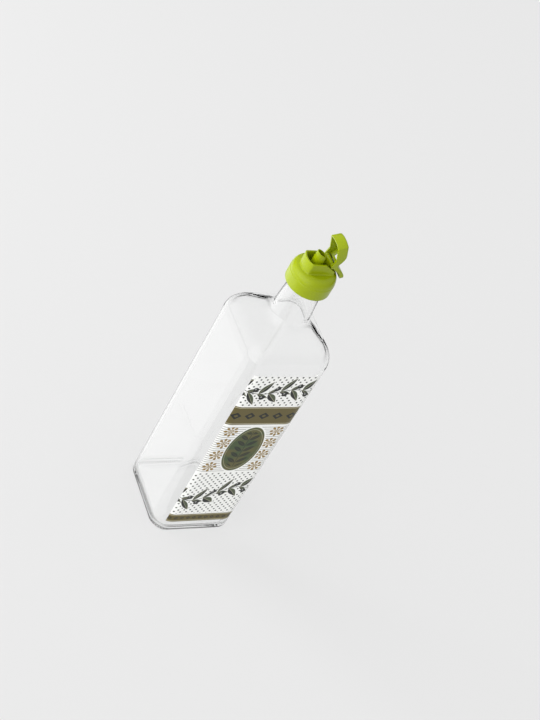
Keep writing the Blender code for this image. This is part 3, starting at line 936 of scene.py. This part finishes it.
class DISPENSER_OT_print(Operator):
    """Lays the printed panel on the front of the glass"""

    bl_idname = "dispenser.print"
    bl_label = "Printed Panel"

    def execute(self, context):
        glass = context.scene.dispenser_glass
        panel = context.scene.dispenser_print
        columns = 64
        shape = bmesh.new()
        grid = bmesh.ops.create_grid(shape, x_segments=columns, y_segments=2, size=1.0)["verts"]
        straight = glass.half - glass.corner
        skin = glass.corner + 0.03 * MM
        for vert in grid:
            across = vert.co.x * panel.half
            beyond = max(abs(across) - straight, 0.0)
            height = panel.low + (panel.high - panel.low) * (vert.co.y + 1) / 2
            inset = math.sqrt(skin * skin - beyond * beyond)
            vert.co = (across, -straight - inset, height)
        bmesh.ops.recalc_face_normals(shape, faces=shape.faces)
        for face in shape.faces:
            if face.normal.y > 0:
                face.normal_flip()
        bmesh.ops.solidify(shape, geom=shape.faces[:], thickness=-panel.film)
        piece = finish_piece(shape, "printed_panel", printed_paint(panel), math.radians(50))
        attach(piece, "bottle")
        return {"FINISHED"}


# Stopper


def stopper_rubber(stopper):
    made, shader = new_material("stopper_rubber", stopper.colour, 0.5)
    tree = made.node_tree
    tone = dress(tree, shader, True, Fine=3.0, Rough_low=0.42, Rough_high=0.62, Relief=0.03)
    two_tone(tree, shader, tone, stopper.colour, (0.005, 0.005, 0.005))
    shader.inputs["Specular IOR Level"].default_value = 0.12
    return made


class DISPENSER_OT_stopper(Operator):
    """Turns the ribbed rubber stopper"""

    bl_idname = "dispenser.stopper"
    bl_label = "Rubber Stopper"

    def execute(self, context):
        stopper = context.scene.dispenser_stopper
        top = STOPPER_HIGH.z
        seat = top - stopper.thick
        bottom = seat - stopper.long
        profile = [
            (0.0, top - stopper.depth),
            (stopper.recess - 1.1 * MM, top - stopper.depth),
            (stopper.recess - 0.7 * MM, top - stopper.depth + 0.15 * MM),
            (stopper.recess - 0.55 * MM, top - stopper.depth + 0.6 * MM),
            (stopper.recess - 0.05 * MM, top - 0.6 * MM),
            (stopper.recess + 0.15 * MM, top - 0.15 * MM),
            (stopper.recess + 0.55 * MM, top),
        ]
        profile += arc((stopper.flange - 0.5 * MM, top - 0.5 * MM), 0.5 * MM, 90, 0, 4)
        profile += arc((stopper.flange - 0.4 * MM, seat + 0.4 * MM), 0.4 * MM, 0, -90, 4)
        profile.append((stopper.stem + 0.3 * MM, seat))
        pitch = stopper.long / stopper.ribs
        for rib in range(stopper.ribs):
            start = seat - rib * pitch
            profile += [
                (stopper.stem, start - 0.08 * pitch),
                (stopper.stem, start - 0.38 * pitch),
                (stopper.stem + 0.25 * MM, start - 0.5 * pitch),
                (stopper.rib - 0.15 * MM, start - 0.56 * pitch),
                (stopper.rib, start - 0.66 * pitch),
                (stopper.rib - 0.1 * MM, start - 0.78 * pitch),
                (stopper.stem + 0.25 * MM, start - 0.88 * pitch),
            ]
        profile += [(stopper.stem - 0.3 * MM, bottom), (0.0, bottom)]
        shape = bmesh.new()
        turned(shape, profile, 96)
        piece = finish_piece(shape, "stopper", stopper_rubber(stopper), math.radians(40))
        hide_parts("rubber_stopper")
        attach(piece, "bottle")
        return {"FINISHED"}


# Cap


def cap_plastic(cap):
    """Satin green plastic, a little uneven as it left its mould."""
    name = "cap_plastic"
    if name in bpy.data.materials:
        return bpy.data.materials[name]
    made, shader = new_material(name, cap.colour, 0.3)
    tree = made.node_tree
    tone = dress(tree, shader, True, Fine=2.4, Broad=0.09, Rough_low=0.24, Rough_high=0.34, Relief=0.003)
    two_tone(tree, shader, tone, [value * 0.86 for value in cap.colour], cap.colour)
    shader.inputs["Specular IOR Level"].default_value = 0.3
    return made


class DISPENSER_OT_cap_shell(Operator):
    """Builds the cap's shell and its spout in one skin"""

    bl_idname = "dispenser.cap_shell"
    bl_label = "Cap Shell and Spout"

    def execute(self, context):
        cap = context.scene.dispenser_cap
        points = 128
        skirt, inner = cap.skirt, cap.skirt - cap.wall
        rise = cap.dome_top - cap.skirt_height
        # Each row is (radius, height), each section (radius, centre x, height, slope of the section)
        rows = [
            (skirt - 0.35 * MM, 0.0),
            (skirt - 0.1 * MM, 0.1 * MM),
            (skirt, 0.4 * MM),
            (skirt, 2.0 * MM),
            (skirt, cap.skirt_height - 0.9 * MM),
            (skirt, cap.skirt_height - 0.15 * MM),
            (skirt - 0.12 * MM, cap.skirt_height),
            (skirt - 0.25 * MM, cap.skirt_height + 0.2 * MM),
        ]
        dome = skirt - 0.2 * MM - cap.dome_radius
        for degrees in range(4, 80, 6):
            turn = math.radians(degrees)
            height = cap.dome_top - rise + 6.4 * MM * math.sin(turn) + 0.4 * MM
            rows.append((cap.dome_radius + dome * math.cos(turn), height))
        rows.append((cap.dome_radius - 0.6 * MM, cap.dome_top - 0.05 * MM))
        rows.append((cap.dome_radius - 1.6 * MM, cap.dome_top))
        sections = [(radius, 0.0, height, 0.0) for radius, height in rows]
        x = cap.spout_x
        slope = math.tan(cap.spout_cut)
        floor = cap.dome_top
        sections.append((cap.spout_foot + 1.2 * MM, x, floor, 0.0))
        sections += [
            (cap.spout_foot + 1.2 * MM - radius, x, floor + 1.2 * MM - height, 0.0)
            for radius, height in arc((0.0, 0.0), 1.2 * MM, 75, 0, 5)
        ]
        lean = (cap.spout_foot - cap.spout_rim) / (cap.spout_top - floor)
        sections.append((cap.spout_foot - lean * 4.0 * MM, x, floor + 4.0 * MM, 0.0))
        sections.append((cap.spout_rim + lean * 1.2 * MM, x, cap.spout_top - 1.2 * MM, slope))
        wall = (cap.spout_rim - cap.spout_bore) / 2
        sections += [
            (cap.spout_rim - wall + radius, x, cap.spout_top - wall + height, slope)
            for radius, height in arc((0.0, 0.0), wall, 0, 180, 8)
        ]
        sections.append((cap.spout_bore, x, cap.spout_top - 3.0 * MM, slope))
        sections.append((cap.spout_bore, x, cap.ceiling + 1.0 * MM, 0.0))
        sections.append((cap.spout_bore + 0.1 * MM, x, cap.ceiling + 0.2 * MM, 0.0))
        sections.append((cap.spout_bore + 0.4 * MM, x, cap.ceiling, 0.0))
        inside = [
            (14.2 * MM, cap.ceiling),
            (inner - 1.6 * MM, cap.skirt_height + 5.1 * MM),
            (inner - 0.5 * MM, cap.skirt_height + 3.4 * MM),
            (inner, cap.skirt_height + 1.2 * MM),
            (inner, 0.5 * MM),
            (inner + 0.3 * MM, 0.0),
            (skirt - 0.35 * MM, 0.0),
        ]
        sections += [(radius, 0.0, height, 0.0) for radius, height in inside]

        def place(section, i):
            radius, centre, height, tilt = section
            angle = FULL_TURN * i / points
            across = radius * math.cos(angle)
            return (
                centre + across,
                radius * math.sin(angle),
                cap.foot + height - across * tilt,
            )

        shape = bmesh.new()
        loft(shape, sections, place, points)
        piece = finish_piece(shape, "cap_shell", cap_plastic(cap), math.radians(50))
        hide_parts("pourer_cap")
        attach(piece, "bottle")
        return {"FINISHED"}


class DISPENSER_OT_collar(Operator):
    """Builds the collar with its two flats and its slanted back"""

    bl_idname = "dispenser.collar"
    bl_label = "Collar"

    def execute(self, context):
        cap = context.scene.dispenser_cap
        points = 240
        edge = 0.4 * MM
        foot = cap.dome_top - 0.5 * MM
        slant_start, slant_end, slant_low, back_low = 1.0 * MM, 9.0 * MM, 21.9 * MM, 19.5 * MM

        def top_at(x):
            if x <= slant_start:
                return cap.collar_top
            if x <= slant_end:
                share = (x - slant_start) / (slant_end - slant_start)
                return cap.collar_top + (slant_low - cap.collar_top) * share
            share = (x - slant_end) / (cap.collar - slant_end)
            return slant_low + (back_low - slant_low) * min(share, 1.0)

        def outline(inset, angle):
            radius, flat = cap.collar - inset, cap.flat - inset
            sine = max(abs(math.sin(angle)), 0.001)
            sharp = 36.0
            return (radius ** -sharp + (flat / sine) ** -sharp) ** (-1 / sharp)

        wall = cap.collar_wall
        # Each section is (distance in from the outer face, height, whether from the top)
        sections = [
            (-0.9 * MM, foot + 0.3 * MM, False),
            (-0.55 * MM, foot + 0.62 * MM, False),
            (-0.2 * MM, foot + 1.0 * MM, False),
            (-0.05 * MM, foot + 1.35 * MM, False),
            (0.0, foot + 1.8 * MM, False),
            (0.0, edge, True),
            (0.12 * MM, 0.12 * MM, True),
            (edge, 0.0, True),
            (wall - edge, 0.0, True),
            (wall - 0.12 * MM, 0.12 * MM, True),
            (wall, edge, True),
            (wall, foot, False),
            (-0.9 * MM, foot, False),
            (-0.9 * MM, foot + 0.3 * MM, False),
        ]

        def place(section, i):
            inset, height, from_top = section
            angle = FULL_TURN * i / points
            distance = outline(inset, angle)
            x = distance * math.cos(angle)
            level = top_at(x) - height if from_top else height
            return (x, distance * math.sin(angle), cap.foot + level)

        shape = bmesh.new()
        loft(shape, sections, place, points)
        piece = finish_piece(shape, "cap_collar", cap_plastic(cap), math.radians(40))
        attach(piece, "bottle")
        return {"FINISHED"}


def round_edges(shape, edges, offset, segments, **more):
    bmesh.ops.bevel(
        shape,
        geom=edges,
        offset=offset,
        offset_type="OFFSET",
        affect="EDGES",
        segments=segments,
        profile=0.5,
        material=-1,
        **more,
    )


class DISPENSER_OT_knuckle(Operator):
    """Adds the hinge's middle knuckle on its post"""

    bl_idname = "dispenser.knuckle"
    bl_label = "Hinge Knuckle"

    def execute(self, context):
        cap = context.scene.dispenser_cap
        axis = Vector(HINGE["pos_m"])
        radius, half = 1.8 * MM, 4.2 * MM
        foot = cap.foot + cap.dome_top - 0.5 * MM
        top = axis.z + radius
        size = (2 * radius, 2 * half, top - foot)
        place = Matrix.Translation((axis.x, 0.0, (top + foot) / 2)) @ Matrix.Diagonal((*size, 1.0))
        shape = bmesh.new()
        bmesh.ops.create_cube(shape, size=1.0, matrix=place)
        high = [
            line
            for line in shape.edges
            if all(vert.co.z > axis.z for vert in line.verts)
            and abs(line.verts[0].co.x - line.verts[1].co.x) < 0.1 * MM
        ]
        round_edges(shape, high, radius * 0.99, 10)
        piece = finish_piece(shape, "cap_knuckle", cap_plastic(cap), math.radians(40))
        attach(piece, "bottle")
        return {"FINISHED"}


# Lid


def lid_brim(shape):
    """Edges where the lid's top meets its outer walls, found with the lid turned shut."""
    axis = Vector(HINGE["pos_m"])
    shut = Matrix.Rotation(math.radians(HINGE["range_deg"][0]), 3, "Y")
    middle = Vector((-axis.x, 0.0))
    brim = []
    for edge in shape.edges:
        if len(edge.link_faces) != 2:
            continue
        rises = sorted((shut @ face.normal).z for face in edge.link_faces)
        if rises[0] > 0.3 or rises[0] < -0.3 or rises[1] < 0.5:
            continue
        ends = [shut @ (vert.co - axis) for vert in edge.verts]
        if all(abs(end.y) > 7.6 * MM or (end.xy - middle).length > 13.9 * MM for end in ends):
            brim.append(edge)
    return brim


class DISPENSER_OT_lid(Operator):
    """Dresses the flip lid with softened edges"""

    bl_idname = "dispenser.lid"
    bl_label = "Flip Lid"

    def execute(self, context):
        source = frame["nodes"]["flip_lid"]
        shape = bmesh.new()
        shape.from_mesh(source.data)
        bmesh.ops.remove_doubles(shape, verts=shape.verts, dist=0.003 * MM)
        bmesh.ops.dissolve_limit(
            shape,
            angle_limit=math.radians(0.6),
            use_dissolve_boundaries=False,
            verts=shape.verts,
            edges=shape.edges,
            delimit=set(),
        )
        round_edges(shape, lid_brim(shape), 1.3 * MM, 5, clamp_overlap=True)
        piece = finish_piece(shape, "lid", cap_plastic(context.scene.dispenser_cap))
        soften = piece.modifiers.new("soft edges", "BEVEL")
        soften.width = 0.3 * MM
        soften.segments = 3
        soften.limit_method = "ANGLE"
        soften.angle_limit = math.radians(38)
        soften.harden_normals = False
        soften.use_clamp_overlap = True
        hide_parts("flip_lid")
        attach(piece, "lid")
        return {"FINISHED"}


# Stage


def area_light(name, place, target, size, power):
    light = bpy.data.lights.new(name, "AREA")
    light.shape = "RECTANGLE"
    light.size, light.size_y = size
    light.energy = power
    lamp = bpy.data.objects.new(name, light)
    lamp.location = place
    lamp.rotation_euler = (Vector(target) - Vector(place)).to_track_quat("-Z", "Y").to_euler()
    lamp.visible_camera = False
    bpy.context.scene.collection.objects.link(lamp)
    return lamp


def towards(tree, direction, heading):
    """Cosine between a direction and a heading."""
    node = tree.nodes.new("ShaderNodeVectorMath")
    node.operation = "DOT_PRODUCT"
    tree.links.new(direction, node.inputs[0])
    node.inputs[1].default_value = Vector(heading).normalized()
    return node.outputs["Value"]


def studio_world():
    """Soft room, brightest on the left. A dark strip low behind draws the lines in the glass."""
    world = bpy.data.worlds.new("studio")
    world.use_nodes = True
    tree = world.node_tree
    direction = tree.nodes.new("ShaderNodeTexCoord").outputs["Generated"]
    rays = tree.nodes.new("ShaderNodeLightPath")
    through = Signal(tree, rays.outputs["Is Transmission Ray"])
    z = components(tree, direction)[2]
    behind = ramp(tree, towards(tree, direction, (1.0, 1.0, 0.0)), 0.1, 0.5)
    strip = behind * (1.0 - ramp(tree, z, 0.11, 0.2))
    left = ramp(tree, towards(tree, direction, (-1.0, -0.15, 0.05)), 0.3, 1.0)
    room = ramp(tree, z, 0.2, 0.95).scaled(0.3, 0.56)
    # Seen through the glass, the room is as pale as the floor and its bright side hardly shows
    light = left * through.scaled(-1.7, 1.9) + room * through.scaled(0.4, 1.0)
    light = light * strip.scaled(-0.97, 1.0)
    seen = blend_colour(tree, rays.outputs["Is Camera Ray"], light, (0.82, 0.82, 0.82, 1.0))
    tree.links.new(seen, tree.nodes["Background"].inputs["Color"])
    bpy.context.scene.world = world


def pale_floor(stage):
    """A dull floor that glows faintly and fades out far away."""
    made, shader = new_material("pale_floor", stage.colour, 0.35)
    tree = made.node_tree
    dress(tree, shader, False, Fine=0.02, Broad=0.002, Rough_low=0.3, Rough_high=0.38, Relief=0.0)
    shader.inputs["Specular IOR Level"].default_value = 0.0
    shader.inputs["Emission Color"].default_value = (1.0, 1.0, 1.0, 1.0)
    shader.inputs["Emission Strength"].default_value = stage.glow
    x, y, _ = components(tree, object_millimetres(tree))
    far = ramp(tree, x.away(y), FADE_START * stage.floor / MM, stage.floor / MM)
    see_through(tree, shader, far, (1.0, 1.0, 1.0, 1.0))
    return made


class DISPENSER_OT_stage(Operator):
    """Sets the pale floor, the soft light and the camera"""

    bl_idname = "dispenser.stage"
    bl_label = "Studio Stage"

    def execute(self, context):
        stage = context.scene.dispenser_stage
        shape = bmesh.new()
        bmesh.ops.create_grid(shape, x_segments=1, y_segments=1, size=stage.floor)
        floor = finish_piece(shape, "floor", pale_floor(stage))
        studio_world()
        card = area_light("card", **LAMP_CARD)
        card.visible_transmission = False
        side = area_light("side", **LAMP_SIDE)
        side.visible_transmission = False
        side.visible_glossy = False
        azimuth, elevation = stage.azimuth, stage.elevation
        back = Vector(
            (
                math.sin(azimuth) * math.cos(elevation),
                -math.cos(azimuth) * math.cos(elevation),
                math.sin(elevation),
            )
        )
        level = Vector((math.cos(azimuth), math.sin(azimuth), 0.0))
        upright = back.cross(level)
        right = level * math.cos(stage.roll) + upright * math.sin(stage.roll)
        up = back.cross(right)
        target = Vector(CAMERA_TARGET) + CAMERA_SHIFT[0] * right + CAMERA_SHIFT[1] * up
        camera = bpy.data.cameras.new("camera")
        camera.sensor_width = CAMERA_SENSOR
        camera.lens = CAMERA_LENS
        camera.clip_start = 0.01
        camera.clip_end = 100.0
        holder = bpy.data.objects.new("camera", camera)
        context.scene.collection.objects.link(holder)
        turn = Matrix((right, up, back)).transposed().to_4x4()
        holder.matrix_world = Matrix.Translation(target + back * stage.distance) @ turn
        context.scene.camera = holder
        context.scene.view_settings.view_transform = "Standard"
        return {"FINISHED"}


class DISPENSER_PT_tools(Panel):
    """Lists the pieces of the dispenser"""

    bl_idname = "DISPENSER_PT_tools"
    bl_label = "Glass Oil Dispenser"
    bl_space_type = "VIEW_3D"
    bl_region_type = "UI"
    bl_category = "Dispenser"

    def draw(self, context):
        for operator in OPERATORS:
            self.layout.operator(operator.bl_idname)
        for holder in GROUPS:
            box = self.layout.box()
            settings = getattr(context.scene, holder)
            for key in settings.__annotations__:
                box.prop(settings, key)


GROUPS = {
    "dispenser_glass": DispenserGlass,
    "dispenser_print": DispenserPrint,
    "dispenser_stopper": DispenserStopper,
    "dispenser_cap": DispenserCap,
    "dispenser_stage": DispenserStage,
}
OPERATORS = (
    DISPENSER_OT_stage,
    DISPENSER_OT_glass,
    DISPENSER_OT_neck_mark,
    DISPENSER_OT_print,
    DISPENSER_OT_stopper,
    DISPENSER_OT_cap_shell,
    DISPENSER_OT_collar,
    DISPENSER_OT_knuckle,
    DISPENSER_OT_lid,
)


def register():
    for group in GROUPS.values():
        bpy.utils.register_class(group)
    for name, group in GROUPS.items():
        setattr(bpy.types.Scene, name, PointerProperty(type=group))
    for operator in OPERATORS:
        bpy.utils.register_class(operator)
    bpy.utils.register_class(DISPENSER_PT_tools)


def unregister():
    bpy.utils.unregister_class(DISPENSER_PT_tools)
    for operator in reversed(OPERATORS):
        bpy.utils.unregister_class(operator)
    for name, group in reversed(list(GROUPS.items())):
        delattr(bpy.types.Scene, name)
        bpy.utils.unregister_class(group)


def main():
    register()
    bpy.ops.dispenser.stage()
    bpy.ops.dispenser.glass()
    bpy.ops.dispenser.neck_mark()
    bpy.ops.dispenser.print()
    bpy.ops.dispenser.stopper()
    bpy.ops.dispenser.cap_shell()
    bpy.ops.dispenser.collar()
    bpy.ops.dispenser.knuckle()
    bpy.ops.dispenser.lid()


if __name__ == "__main__":
    main()
